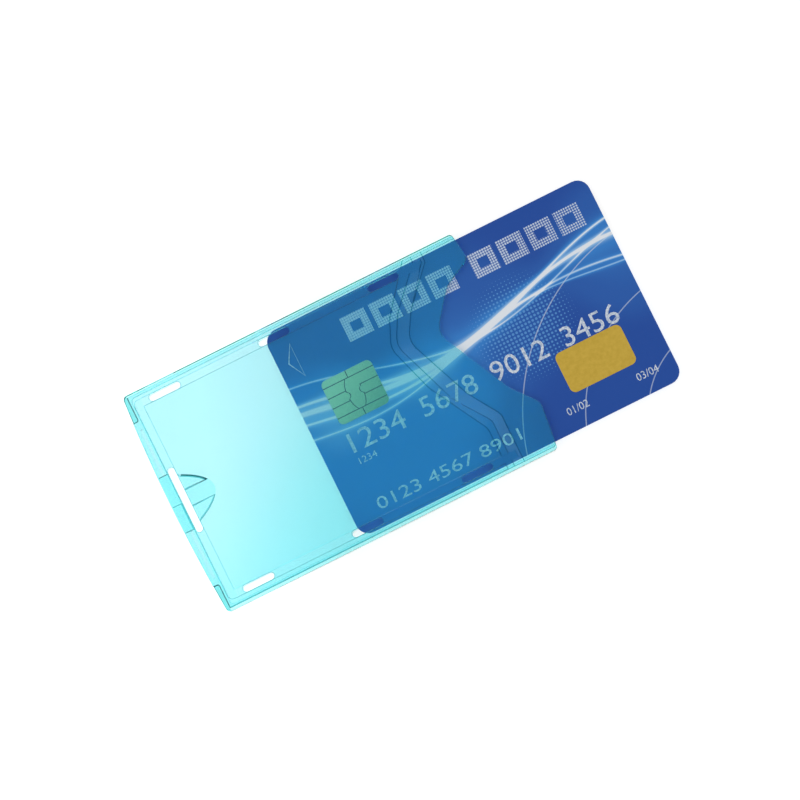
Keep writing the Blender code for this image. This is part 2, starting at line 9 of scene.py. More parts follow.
import math

import bmesh
import bpy
from mathutils import Matrix, Vector


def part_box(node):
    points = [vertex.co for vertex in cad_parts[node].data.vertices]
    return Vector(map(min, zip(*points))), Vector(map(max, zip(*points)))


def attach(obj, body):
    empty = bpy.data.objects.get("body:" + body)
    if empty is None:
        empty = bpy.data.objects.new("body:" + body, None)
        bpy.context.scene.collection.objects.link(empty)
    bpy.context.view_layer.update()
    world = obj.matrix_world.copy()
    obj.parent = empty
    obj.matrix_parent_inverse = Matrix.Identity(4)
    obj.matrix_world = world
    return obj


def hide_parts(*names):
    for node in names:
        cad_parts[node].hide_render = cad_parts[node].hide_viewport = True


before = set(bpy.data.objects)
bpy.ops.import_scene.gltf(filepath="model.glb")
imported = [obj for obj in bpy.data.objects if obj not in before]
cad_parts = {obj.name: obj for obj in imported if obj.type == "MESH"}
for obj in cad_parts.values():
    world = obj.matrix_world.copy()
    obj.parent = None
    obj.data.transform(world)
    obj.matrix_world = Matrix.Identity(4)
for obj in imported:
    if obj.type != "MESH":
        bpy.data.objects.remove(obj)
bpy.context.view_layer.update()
MM = 0.001

# %% [markdown]
# ## The camera
#
# The card is a known 85.60 x 53.98 mm, so its four corners in the photograph give the camera: it
# looks almost straight down from far away with a long lens, leans 6 degrees towards the sleeve's
# lower long side, and is rolled so that the sleeve rises to the right. A far camera with a long
# lens keeps opposite edges parallel, as they are in the photograph.

# %% Place the camera
LOOKS_AT = Vector((15.34, -1.47, 2.0)) * MM
CAMERA_DISTANCE = 2.5
CAMERA_LEAN = math.radians(6.23)
LEANS_TOWARDS = math.radians(282.5)
CAMERA_ROLL = math.radians(-26.5)
PIXELS_PER_MM = 4.195
FRAME_PIXELS = 800
SENSOR_WIDTH = 36.0

to_camera = Vector(
    (
        math.sin(CAMERA_LEAN) * math.cos(LEANS_TOWARDS),
        math.sin(CAMERA_LEAN) * math.sin(LEANS_TOWARDS),
        math.cos(CAMERA_LEAN),
    )
)
along_x = (Vector((1, 0, 0)) - to_camera * to_camera.x).normalized()
right = Matrix.Rotation(CAMERA_ROLL, 3, to_camera) @ along_x
up = to_camera.cross(right)

camera_data = bpy.data.cameras.new("camera")
camera_data.sensor_width = SENSOR_WIDTH
camera_data.lens = SENSOR_WIDTH * PIXELS_PER_MM / MM * CAMERA_DISTANCE / FRAME_PIXELS
camera_data.clip_end = 10.0
camera = bpy.data.objects.new("camera", camera_data)
turn = Matrix((right, up, to_camera)).transposed().to_4x4()
camera.matrix_world = Matrix.Translation(LOOKS_AT + CAMERA_DISTANCE * to_camera) @ turn
bpy.context.scene.collection.objects.link(camera)
bpy.context.scene.camera = camera
print("lens", round(camera_data.lens, 1), "mm at", CAMERA_DISTANCE, "m")

# %% [markdown]
# ## Letting light through clear plastic
#
# What lies under the sleeve is lit only by light that has passed both mouldings, down and up again:
# eight surfaces, and far more where it runs along inside the floor and comes out at an edge. Cycles
# stops too early for that by default, which leaves the edges black, and it blurs smooth glass after
# the first matt bounce, which makes clear plastic grey. Deeper paths and no blur keep it clear.

# %% Light paths
paths = bpy.context.scene.cycles
paths.blur_glossy = 0.0
paths.max_bounces = 96
paths.transmission_bounces = 48
paths.glossy_bounces = 64
paths.diffuse_bounces = 8
print("light paths through clear surfaces:", paths.transmission_bounces)

# %% [markdown]
# ## Helpers for materials
#
# Each material starts from one Principled shader. A colour is written as its sRGB hex value, the
# number a paint shop would give, and one function turns it into the linear value that Blender
# counts in. A second function adds any node with its settings and links.

# %% Colour and node helpers
def linear(hex_colour):
    """The linear RGBA of an sRGB hex colour."""
    channels = [int(hex_colour[place : place + 2], 16) / 255 for place in (1, 3, 5)]
    made = [c / 12.92 if c <= 0.04045 else ((c + 0.055) / 1.055) ** 2.4 for c in channels]
    return (*made, 1.0)


def new_material(name):
    """An empty material and its node tree."""
    made = bpy.data.materials.new(name)
    made.use_nodes = True
    made.node_tree.nodes.clear()
    return made, made.node_tree


def add(tree, kind, inputs=None, **settings):
    """Adds a node. An input is a number, a colour, or another node's output to link."""
    node = tree.nodes.new(kind)
    for name, value in settings.items():
        setattr(node, name, value)
    for name, value in (inputs or {}).items():
        if isinstance(value, bpy.types.NodeSocket):
            tree.links.new(value, node.inputs[name])
        else:
            node.inputs[name].default_value = value
    return node


# %% [markdown]
# ## The clear plastic
#
# The sleeve is injection-moulded polystyrene, dyed turquoise right through and polished by its
# mould. The dye is in the body of the plastic, so a thick wall looks deeper than a thin one: the
# dye's colour is a volume that takes red light away. The surface bends and mirrors light, and it
# carries a painted sheen: it lets a little more red through towards the upper left and less
# towards the lower right, where the photograph is deeper. Where the plastic turns a corner it bends
# light away from the eye and a dark line shows. Such lines are thinner than a pixel, so they are
# painted shade: marked faces get a darker tint and let less light in. A little light is scattered
# back by the upper surface, which lays a cyan veil over what is under the plastic.

# %% Turquoise polystyrene
POLYSTYRENE_IOR = 1.57
DYE_COLOUR = "#CBFCFB"
DYE_DENSITY = 400.0
# Tints and reach of a painted sheen on the plastic's faces, paler towards the upper left.
FACE_OUT_OF_SHEEN = "#E2FFFF"
FACE_IN_PAINTED_SHEEN = "#F6FFFF"
PAINTED_SHEEN_DIRECTION = Vector((-0.55, 0.83, 0.0)) / MM
SHEEN_FROM, SHEEN_TO = -15.0, 24.0
# Tints of the painted shade that dark lines and shaded faces get, from faint to full.
SHADE_FAINT = "#A0F4F6"
SHADE_HALF = "#48B2B8"
SHADE_FULL = "#002C30"
VEIL_COLOUR = "#34C8FF"
VEIL_SHARE = 0.17
VEILED_ABOVE = 2.9 * MM

turquoise, tree = new_material("clear_turquoise_polystyrene_moulded")
place = add(tree, "ShaderNodeTexCoord")
# Painted sheen: the face's tint is paler towards the upper left.
along_light = add(
    tree,
    "ShaderNodeVectorMath",
    {0: place.outputs["Object"], 1: PAINTED_SHEEN_DIRECTION},
    operation="DOT_PRODUCT",
)
painted_sheen = add(
    tree,
    "ShaderNodeMapRange",
    {"Value": along_light.outputs["Value"], "From Min": SHEEN_FROM, "From Max": SHEEN_TO},
    interpolation_type="SMOOTHSTEP",
)
sheen_tint = add(
    tree,
    "ShaderNodeMix",
    {"Factor": painted_sheen.outputs[0], 6: linear(FACE_OUT_OF_SHEEN), 7: linear(FACE_IN_PAINTED_SHEEN)},
    data_type="RGBA",
)
# Painted shade: a marked face's darkness picks a darker tint.
shade_attribute = add(tree, "ShaderNodeAttribute", attribute_name="painted_shade_amount")
shade_tint = add(tree, "ShaderNodeValToRGB", {"Fac": shade_attribute.outputs["Fac"]})
shades = shade_tint.color_ramp.elements
shades[0].position, shades[0].color = 0.0, linear("#FFFFFF")
shades[1].position, shades[1].color = 1.0, linear(SHADE_FULL)
shades.new(0.2).color = linear(SHADE_FAINT)
shades.new(0.5).color = linear(SHADE_HALF)
tint = add(
    tree,
    "ShaderNodeMix",
    {"Factor": 1.0, 6: sheen_tint.outputs["Result"], 7: shade_tint.outputs[0]},
    data_type="RGBA",
    blend_type="MULTIPLY",
)
glass = add(
    tree,
    "ShaderNodeBsdfPrincipled",
    {
        "Base Color": tint.outputs["Result"],
        "Roughness": 0.0,
        "IOR": POLYSTYRENE_IOR,
        "Transmission Weight": 1.0,
    },
)
split = add(tree, "ShaderNodeSeparateXYZ", {"Vector": place.outputs["Object"]})
on_top = add(
    tree, "ShaderNodeMath", {0: split.outputs["Z"], 1: VEILED_ABOVE}, operation="GREATER_THAN"
)
veil_share = add(
    tree, "ShaderNodeMath", {0: on_top.outputs[0], 1: VEIL_SHARE}, operation="MULTIPLY"
)
off_shade = add(
    tree, "ShaderNodeMath", {0: 1.0, 1: shade_attribute.outputs["Fac"]}, operation="SUBTRACT"
)
share = add(
    tree,
    "ShaderNodeMath",
    {0: veil_share.outputs[0], 1: off_shade.outputs[0]},
    operation="MULTIPLY",
)
veil = add(tree, "ShaderNodeBsdfDiffuse", {"Color": linear(VEIL_COLOUR)})
veiled = add(
    tree,
    "ShaderNodeMixShader",
    {0: share.outputs[0], 1: glass.outputs[0], 2: veil.outputs[0]},
)
dye = add(
    tree,
    "ShaderNodeVolumeAbsorption",
    {"Color": linear(DYE_COLOUR), "Density": DYE_DENSITY},
)
add(
    tree,
    "ShaderNodeOutputMaterial",
    {"Surface": veiled.outputs[0], "Volume": dye.outputs[0]},
)
print(turquoise.name, "has", len(tree.nodes), "nodes")

# %% [markdown]
# ## The two mouldings
#
# The tray and the plate come out of their moulds with edges rounded by a tenth to a quarter of a
# millimetre, which is what catches the light. Their shape is already right in the CAD, so each is
# made from a copy of its node: the triangles are merged, flat areas are joined into single faces,
# and only the sharp outward edges and the lines along the slope are beveled. Each face keeps in an
# attribute how dark a painted shade it gets, and the plastic reads it as a darker tint.

# %% Copies of the mouldings
SHARP_EDGE = math.radians(40)
FLAT_ENOUGH = math.radians(0.3)
NEARLY_LEVEL = 0.97
SAME_HEIGHT = 0.005 * MM
CUT_SNAP = 0.001 * MM


def merged_copy(node_name):
    """A bmesh of a CAD node with its triangles merged into one closed skin."""
    shape = bmesh.new()
    shape.from_mesh(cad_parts[node_name].data)
    bmesh.ops.remove_doubles(shape, verts=shape.verts, dist=0.0002 * MM)
    bmesh.ops.dissolve_limit(
        shape, angle_limit=FLAT_ENOUGH, verts=shape.verts, edges=shape.edges
    )
    shape.faces.layers.float.new("painted_shade_amount")
    shape.faces.layers.int.new("rounded")
    return shape


def at_height(item, height):
    """True when a corner, or every corner of an edge, lies at a height."""
    corners = getattr(item, "verts", [item])
    return all(abs(corner.co.z - height) < SAME_HEIGHT for corner in corners)


def level_faces(shape, height):
    """The faces whose corners all lie at a height."""
    return [face for face in shape.faces if all(at_height(vert, height) for vert in face.verts)]


def cut_faces(shape, faces, place, across):
    """Cuts faces by the plane through a place, and returns the faces that are left."""
    parts = dict.fromkeys(item for face in faces for item in (face, *face.edges, *face.verts))
    cut = bmesh.ops.bisect_plane(
        shape, geom=list(parts), plane_co=place, plane_no=across, dist=CUT_SNAP
    )
    return [item for item in cut["geom"] if isinstance(item, bmesh.types.BMFace)]


def is_level(edge):
    """True for an edge whose two ends lie at one height."""
    return at_height(edge, edge.verts[0].co.z)


def is_crease(edge):
    """True for a level line where two nearly level faces meet, as along the slope."""
    both_up = all(face.normal.z > NEARLY_LEVEL for face in edge.link_faces)
    return is_level(edge) and both_up and edge.calc_face_angle(0.0) > FLAT_ENOUGH


def sharp_edges(shape):
    """The outward edges that haven't been rounded yet."""
    rounded = shape.faces.layers.int["rounded"]
    return [
        edge
        for edge in shape.edges
        if edge.is_convex
        and edge.calc_face_angle(0.0) > SHARP_EDGE
        and not any(face[rounded] for face in edge.link_faces)
    ]


def paint_shade(shape, faces, darkness):
    """Gives faces a painted shade as dark as darkness: a number, or a function of a face."""
    marked = shape.faces.layers.float["painted_shade_amount"]
    for face in faces:
        face[marked] = darkness(face) if callable(darkness) else darkness


def round_edges(shape, edges, radius, segments, darkness):
    """Bevels edges, marks the new faces as rounded and gives them a painted shade line."""
    made = bmesh.ops.bevel(
        shape,
        geom=edges,
        offset=radius,
        segments=segments,
        profile=0.5,
        affect="EDGES",
        material=-1,
        clamp_overlap=False,
    )
    shape.normal_update()
    rounded = shape.faces.layers.int["rounded"]
    for face in made["faces"]:
        face[rounded] = 1
    paint_shade(shape, made["faces"], darkness)
    return len(edges)


def finish_moulding(shape, name, material):
    """Turns a shaped bmesh into a smooth-shaded piece of the sleeve."""
    for edge in shape.edges:
        edge.smooth = not (edge.calc_face_angle(0.0) > SHARP_EDGE or is_crease(edge))
    for face in shape.faces:
        face.smooth = True
    shape.faces.layers.int.remove(shape.faces.layers.int["rounded"])
    mesh = bpy.data.meshes.new(name)
    shape.to_mesh(mesh)
    shape.free()
    mesh.materials.append(material)
    piece = bpy.data.objects.new(name, mesh)
    bpy.context.scene.collection.objects.link(piece)
    weighted = piece.modifiers.new("flat_faces_stay_flat", "WEIGHTED_NORMAL")
    weighted.keep_sharp = True
    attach(piece, "sleeve")
    print(name, len(mesh.vertices), "vertices,", len(mesh.polygons), "faces")
    return piece


# %% [markdown]
# The plate is the piece with the most to see. First come the two D shapes of the half-moon: their
# walls meet the floor in a fillet, and the upper D has the wider and darker line of painted shade,
# darkest on walls that face the shaded side. Their floor is inset and all of its rim but the open
# end is raised a little. The floors and the dips get a light painted shade. A gap of 0.02 mm under
# the plate stands for the seam, so that light meets both mouldings' surfaces.

# %% Front plate, ready for its edges
WELD_GAP = 0.02 * MM
PLATE_TOP = 3.6 * MM
GROOVE_FLOOR = 3.2 * MM
DIP_FLOOR = 3.5 * MM
D_FLOOR = 3.3 * MM
MOON_LEFT, MOON_RIGHT, MOON_SIDE = -40.2 * MM, -33.0 * MM, 6.5 * MM
UPPER_FILLET, LOWER_FILLET = 0.46 * MM, 0.3 * MM
FILLET_RISE = 0.05 * MM
DIP_RIM_FROM = D_FLOOR + 0.22 * MM
DIP_RIM_DARKNESS = 0.3
MOON_SHADE = 0.14
MOON_DARKNESS, MOON_DARKNESS_RISE = 0.84, 0.16
MOON_SHADE_SIDE = Vector((-0.6, -0.8, 0.0))


def in_half_moon(*corners):
    """True when all the corners lie in the half-moon beside the end slot."""
    return all(
        MOON_LEFT < corner.co.x < MOON_RIGHT and abs(corner.co.y) < MOON_SIDE
        for corner in corners
    )


def moon_darkness(face):
    """Dark where a wall of the half-moon faces the shaded side, faint along the dip's rim."""
    if face.calc_center_median().z > DIP_RIM_FROM:
        return DIP_RIM_DARKNESS
    flat = Vector((face.normal.x, face.normal.y, 0.0)).normalized()
    return MOON_DARKNESS + MOON_DARKNESS_RISE * max(0.0, flat.dot(MOON_SHADE_SIDE))


plate = merged_copy("front_plate")
plate_low = min(vert.co.z for vert in plate.verts)
for vert in plate.verts:
    if vert.co.z < plate_low + WELD_GAP:
        vert.co.z = plate_low + WELD_GAP

d_floors = [face for face in level_faces(plate, D_FLOOR) if in_half_moon(*face.verts)]
for floor in d_floors:
    fillet = UPPER_FILLET if floor.calc_center_median().y > 0 else LOWER_FILLET
    open_end = min(vert.co.x for vert in floor.verts)
    ring = bmesh.ops.inset_region(
        plate, faces=[floor], thickness=fillet, use_even_offset=False
    )["faces"]
    foot = {vert for face in ring for vert in face.verts} - set(floor.verts)
    foot = [vert for vert in foot if vert.co.x > open_end + SAME_HEIGHT]
    for vert in foot:
        vert.co.z += FILLET_RISE
    plate.normal_update()
    past_open_end = open_end + fillet
    rounded = [face for face in ring if face.calc_center_median().x > past_open_end]
    # The fillet and the floor get a painted shade.
    paint_shade(plate, rounded, moon_darkness)
    paint_shade(plate, [floor], MOON_SHADE)
print("D floors with a fillet:", len(d_floors))
dips = [face for face in level_faces(plate, DIP_FLOOR) if in_half_moon(*face.verts)]
paint_shade(plate, dips, MOON_SHADE)

# %% [markdown]
# The closed end is solid between two steps, and thicker plastic is deeper in colour. Its steps and
# its shade show through the plate, so they are laid on the plate's level top as painted shade:
# three thin strips are cut across it for the steps' dark lines, and the faces between them get a
# painted shade that is darker along the slot's lower part. The groove's floor is tinted a little
# darker at this end too.

# %% Lines across the closed end
BLOCK_LINES = (
    # place along the end, darkness
    (7.3, 0.95),
    (-0.5, 0.65),
    (-7.3, 0.85),
)
LINE_WIDTH = 0.2 * MM
BLOCK_SHADE, SLOT_SHADE = 0.14, 0.5
SLOT_SHADE_FROM = -42.5 * MM
FRAME_END = -42.0 * MM
GROOVE_END, GROOVE_END_SHADE = -40.0 * MM, 0.05


def closed_end_faces():
    """The plate's level top faces between the groove and the closed end."""
    return [
        face
        for face in level_faces(plate, PLATE_TOP)
        if min(vert.co.x for vert in face.verts) < FRAME_END
    ]


def block_darkness(face):
    """Darker along the slot's lower part, as light is bent away there."""
    centre = face.calc_center_median()
    return SLOT_SHADE if centre.x > SLOT_SHADE_FROM and centre.y < 0 else BLOCK_SHADE


for middle, darkness in BLOCK_LINES:
    for side in (-0.5, 0.5):
        line_edge = middle * MM + side * LINE_WIDTH
        cut_faces(plate, closed_end_faces(), (0, line_edge, 0), (0, 1, 0))
    strip = [
        face
        for face in closed_end_faces()
        if all(abs(vert.co.y - middle * MM) < LINE_WIDTH for vert in face.verts)
    ]
    paint_shade(plate, strip, darkness)
    print("line across the end at", middle, "mm:", len(strip), "face")
first, last = BLOCK_LINES[-1][0] * MM, BLOCK_LINES[0][0] * MM
blocks = [
    face
    for face in closed_end_faces()
    if all(first < vert.co.y < last for vert in face.verts)
    and max(vert.co.y for vert in face.verts) - min(vert.co.y for vert in face.verts) > MM
]
blocks = cut_faces(plate, blocks, (SLOT_SHADE_FROM, 0, 0), (1, 0, 0))
paint_shade(plate, blocks, block_darkness)
print("faces over the solid block:", len(blocks))

floors = [
    face
    for face in level_faces(plate, GROOVE_FLOOR)
    if min(vert.co.x for vert in face.verts) < GROOVE_END
]
floors = cut_faces(plate, floors, (GROOVE_END, 0, 0), (1, 0, 0))
floors = [face for face in floors if face.calc_center_median().x < GROOVE_END]
paint_shade(plate, floors, GROOVE_END_SHADE)
print("faces of the groove's closed end:", len(floors))

# %% [markdown]
# Each family of the plate's edges is rounded with the radius that its surroundings leave room for,
# and gets its own painted shade, with a darkness read off the photograph: the outer rim is
# darkest at the closed corners and on its side facing -Y, and the groove's lines are soft and
# darker on walls that face +Y. Upright walls never get a painted shade darker than a limit,
# because from the side the eye looks through them along the whole plate.

# %% Front plate's edges
RIM_RADIUS = 0.26 * MM
OTHER_RADIUS = 0.13 * MM
GROOVE_RADIUS = 0.15 * MM
CREASE_HALF_WIDTH = 0.12 * MM
SLOT_RADIUS = 0.05 * MM
MOON_RADIUS = 0.02 * MM
CLOSED_END = -42.6 * MM
TAB_SIDE = 21.5 * MM
BLOCK_SIDE = 7.3 * MM
GROOVE_INNER, GROOVE_OUTER = 24.3 * MM, 26.7 * MM
PLATE_SIDE = 27.9 * MM
UPRIGHT = 0.1
WALL_DARKEST = 0.4
SLOPE_DARKNESS = 0.6
SLOT_DARKNESS = 0.55
BLOCK_SIDE_DARKNESS = 0.7
GROOVE_DARKNESS, GROOVE_DARKNESS_RISE = 0.45, 0.3
CORNER_DARKNESS, TAB_DARKNESS = 1.0, 0.14
LOW_SIDE_DARKNESS, HIGH_SIDE_DARKNESS = 0.7, 0.3


def wall_foot(edge):
    """The height at which the steeper of an edge's two faces ends."""
    wall = min(edge.link_faces, key=lambda face: abs(face.normal.z))
    return min(vert.co.z for vert in wall.verts)


def is_groove_rim(edge):
    """True for the groove's two upper edges, whose walls end on the groove's floor."""
    return at_height(edge, PLATE_TOP) and wall_foot(edge) > GROOVE_FLOOR - SAME_HEIGHT


def is_outer_rim(edge):
    """True for the plate's outline, whose walls go down to the tray."""
    return at_height(edge, PLATE_TOP) and wall_foot(edge) < GROOVE_FLOOR - MM / 2


def ends_groove(edge):
    """True for the short tilted edges where the slope cuts the groove's walls."""
    inside = all(GROOVE_INNER < abs(vert.co.y) < GROOVE_OUTER for vert in edge.verts)
    return inside and not is_level(edge) and edge.verts[0].co.x > 0


def groove_darkness(face):
    """A painted shade, darker on walls that face the upper long side (+Y), and beside the solid
    block.
    """
    centre = face.calc_center_median()
    if centre.x < FRAME_END + 0.4 * MM and abs(centre.y) < BLOCK_SIDE:
        return BLOCK_SIDE_DARKNESS
    sideways = Vector((face.normal.x, face.normal.y, 0.0)).normalized().y
    return GROOVE_DARKNESS + GROOVE_DARKNESS_RISE * sideways


def rim_darkness(face):
    """A painted shade, darkest at the closed corners, faint along the tab between them."""
    centre = face.calc_center_median()
    if centre.x < CLOSED_END:
        return CORNER_DARKNESS if abs(centre.y) > TAB_SIDE else TAB_DARKNESS
    return LOW_SIDE_DARKNESS if face.normal.y < 0 else HIGH_SIDE_DARKNESS


def wall_darkness(face):
    """The rim's darkness, but for upright walls not past their limit."""
    return min(WALL_DARKEST, rim_darkness(face))


outer_walls = [
    face
    for face in plate.faces
    if abs(face.normal.z) < UPRIGHT
    and (
        abs(face.calc_center_median().y) > PLATE_SIDE
        or face.calc_center_median().x < CLOSED_END
    )
]
paint_shade(plate, outer_walls, wall_darkness)
creases = [edge for edge in plate.edges if is_crease(edge)]
print("slope lines:", round_edges(plate, creases, CREASE_HALF_WIDTH, 1, SLOPE_DARKNESS))
slots = [edge for edge in sharp_edges(plate) if at_height(edge, GROOVE_FLOOR)]
print("slot edges:", round_edges(plate, slots, SLOT_RADIUS, 2, SLOT_DARKNESS))
moon = [
    edge
    for edge in sharp_edges(plate)
    if any(in_half_moon(vert) for vert in edge.verts) and edge.calc_length() < MOON_SIDE
]
print("half-moon edges:", round_edges(plate, moon, MOON_RADIUS, 1, moon_darkness))
groove = [
    edge
    for edge in sharp_edges(plate)
    if is_groove_rim(edge) and not in_half_moon(*edge.verts)
]
print("groove edges:", round_edges(plate, groove, GROOVE_RADIUS, 2, groove_darkness))
rims = [edge for edge in sharp_edges(plate) if is_outer_rim(edge)]
print("outer rim edges:", round_edges(plate, rims, RIM_RADIUS, 3, rim_darkness))
others = [
    edge
    for edge in sharp_edges(plate)
    if not in_half_moon(*edge.verts) and not ends_groove(edge)
]
print("other plate edges:", round_edges(plate, others, OTHER_RADIUS, 2, rim_darkness))
plate_piece = finish_moulding(plate, "front_plate_moulding", turquoise)
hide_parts("front_plate")

# %% [markdown]
# The tray is plainer. The plate leaves a little ledge of it bare at each closed corner, which looks
# deeper than the plastic beside it, so the tray's top is cut along the plate's outline there and the
# ledges get a painted shade. Its rounded edges get a faint painted shade line. The edges of the two
# hollows in the end wall stay sharp, because they lie too close together to be rounded cleanly.

# %% Back tray
TRAY_RADIUS = 0.12 * MM
TRAY_TOP_DARKNESS, TRAY_FOOT_DARKNESS = 0.3, 0.06
LEDGE_END, LEDGE_SHADE = -42.95 * MM, 0.4
TAB_HALF = 21.9 * MM
HOLLOW_LEFT, HOLLOW_RIGHT = -44.6 * MM, -42.3 * MM


def in_hollow(edge):
    """True for an edge of the hollows in the tray's end wall."""
    return all(
        HOLLOW_LEFT < vert.co.x < HOLLOW_RIGHT and abs(vert.co.y) < TAB_SIDE
        for vert in edge.verts
    )


tray = merged_copy("back_tray")
tray_top = max(vert.co.z for vert in tray.verts)
cut_faces(tray, level_faces(tray, tray_top), (LEDGE_END, 0, 0), (1, 0, 0))
for tab_edge in (TAB_HALF, -TAB_HALF):
    cut_faces(tray, level_faces(tray, tray_top), (0, tab_edge, 0), (0, 1, 0))
ledges = [
    face
    for face in level_faces(tray, tray_top)
    if face.calc_center_median().x < LEDGE_END
    and abs(face.calc_center_median().y) > TAB_HALF
]
paint_shade(tray, ledges, LEDGE_SHADE)
print("ledges at the closed corners:", len(ledges))
upper = [
    edge
    for edge in sharp_edges(tray)
    if at_height(edge, tray_top) and not in_hollow(edge)
]
print("tray's upper edges:", round_edges(tray, upper, TRAY_RADIUS, 2, TRAY_TOP_DARKNESS))
lower = [edge for edge in sharp_edges(tray) if is_level(edge) and not in_hollow(edge)]
print("tray's lower edges:", round_edges(tray, lower, TRAY_RADIUS, 2, TRAY_FOOT_DARKNESS))
tray_piece = finish_moulding(tray, "back_tray_moulding", turquoise)
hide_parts("back_tray")

# %% [markdown]
# ## The card's print
#
# A bank-type card is printed in several inks on a white PVC sheet and laminated under a clear film,
# so its colours are deep and its face is evenly glossy. The design here is a plain one of its own:
# royal blue, bands of light as soft waves, a field of dots that fades out, thin rings and a row of
# halftone blocks. Everything is worked out from the distance in millimetres from the card's middle,
# so each motif has a size that a printer could check.

# %% Coordinates in millimetres on the card
CARD_MIDDLE_X = (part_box("card_front_core")[0][0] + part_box("card_front_core")[1][0]) / 2
print("card's middle at x =", round(CARD_MIDDLE_X / MM, 2), "mm")


def card_millimetres(tree):
    """X and Y from the card's middle, in millimetres, and the vector that holds both."""
    place = add(tree, "ShaderNodeTexCoord")
    scaled = add(
        tree,
        "ShaderNodeMapping",
        {
            "Vector": place.outputs["Object"],
            "Location": (-CARD_MIDDLE_X / MM, 0.0, 0.0),
            "Scale": (1 / MM, 1 / MM, 1 / MM),
        },
    )
    split = add(tree, "ShaderNodeSeparateXYZ", {"Vector": scaled.outputs[0]})
    return split.outputs["X"], split.outputs["Y"], scaled.outputs[0]


def chain(tree, value, *steps):
    """Passes a value through (operation, operand, ...) steps of arithmetic."""
    for operation, *operands in steps:
        node = add(tree, "ShaderNodeMath", {0: value}, operation=operation)
        for place, operand in enumerate(operands, 1):
            if isinstance(operand, bpy.types.NodeSocket):
                tree.links.new(operand, node.inputs[place])
            else:
                node.inputs[place].default_value = operand
        value = node.outputs[0]
    return value


def light_band(tree, x, y, height, rise, swing, length, start, width):
    """How bright a soft wavy line is: 1 on the line, falling off over its width."""
    line = chain(
        tree,
        x,
        ("MULTIPLY_ADD", math.tau / length, start),
        ("SINE",),
        ("MULTIPLY_ADD", swing, height),
    )
    line = chain(tree, x, ("MULTIPLY_ADD", rise, line))
    return chain(
        tree,
        y,
        ("SUBTRACT", line),
        ("DIVIDE", width),
        ("POWER", 2.0),
        ("ADD", 1.0),
        ("POWER", -1.0),
    )


def soft_spot(tree, x, y, centre, radius):
    """A round glow: 1 in its middle, 0 past its radius."""
    across = chain(tree, x, ("SUBTRACT", centre[0]), ("DIVIDE", radius), ("POWER", 2.0))
    away = chain(
        tree, y, ("SUBTRACT", centre[1]), ("DIVIDE", radius), ("POWER", 2.0), ("ADD", across)
    )
    fall = add(
        tree,
        "ShaderNodeMapRange",
        {"Value": away, "From Min": 0.0, "From Max": 1.0, "To Min": 1.0, "To Max": 0.0},
        interpolation_type="SMOOTHSTEP",
    )
    return fall.outputs[0]


# %% Front print
BANDS = (
    # height, rise, swing, length, start, width, strength
    (6.2, 0.060, 3.4, 92.0, -0.85, 0.38, 0.85),
    (7.6, 0.085, 4.6, 98.0, -1.35, 0.28, 0.68),
    (3.6, 0.040, 2.8, 84.0, -0.30, 0.26, 0.58),
    (8.6, 0.020, 5.2, 104.0, -1.75, 0.20, 0.52),
    (2.4, 0.090, 2.6, 76.0, 0.25, 0.20, 0.45),
    (6.0, 0.055, 3.4, 92.0, -0.85, 2.6, 0.20),
)
GLOWS = (
    # middle, radius, strength
    ((-24.0, -18.0), 36.0, 0.30),
    # Print, and painted light too: this broad glow brightens the card's part inside the sleeve.
    ((-30.0, 12.0), 52.0, 0.14),
    ((44.0, 8.0), 22.0, 0.24),
    ((4.0, 4.0), 26.0, 0.14),
    ((-40.0, 6.0), 18.0, 0.16),
)

blue_print, tree = new_material("offset_print_under_clear_film")
x, y, both = card_millimetres(tree)
light = None
for height, rise, swing, length, start_angle, width, strength in BANDS:
    band = light_band(tree, x, y, height, rise, swing, length, start_angle, width)
    light = chain(tree, band, ("MULTIPLY_ADD", strength, light if light else 0.0))
for centre, radius, strength in GLOWS:
    spot = soft_spot(tree, x, y, centre, radius)
    light = chain(tree, spot, ("MULTIPLY_ADD", strength, light))
ink = add(tree, "ShaderNodeValToRGB", {"Fac": light})
ink.color_ramp.interpolation = "EASE"
stops = ink.color_ramp.elements
stops[0].position, stops[0].color = 0.0, linear("#2452A9")
stops[1].position, stops[1].color = 1.0, linear("#F2F8FF")
for position, shade in ((0.20, "#2C62B6"), (0.42, "#3A86D6"), (0.66, "#8CC0F2")):
    stops.new(position).color = linear(shade)
print("bands and glows:", len(BANDS), "and", len(GLOWS))

# %% Dots and thin rings
# In millimetres, but for the dots' largest radius, which is a share of their pitch. The sharpness
# says how fast the ink comes up inside an edge
DOT_PITCH = 0.95
DOT_FIELD = ((14.0, 1.0), 16.0)
DOT_RADIUS = 0.36
DOT_STRENGTH = 0.55
RING_MIDDLE = (52.0, -40.0)
RING_PITCH = 7.5
RING_REACH = 64.0
RING_HALF_WIDTH = 0.16
RING_STRENGTH = 0.5
EDGE_SHARPNESS = 9.0


def from_tile_middle(tree, vector, pitch, operation):
    """Where a point lies in its square tile, counted from the tile's middle in tile sides."""
    tiled = add(
        tree,
        "ShaderNodeVectorMath",
        {0: vector, 1: (1 / pitch, 1 / pitch, 0.0)},
        operation="MULTIPLY",
    )
    tiled = add(tree, "ShaderNodeVectorMath", {0: tiled.outputs[0]}, operation="FRACTION")
    return add(
        tree,
        "ShaderNodeVectorMath",
        {0: tiled.outputs[0], 1: (0.5, 0.5, 0.0)},
        operation=operation,
    )


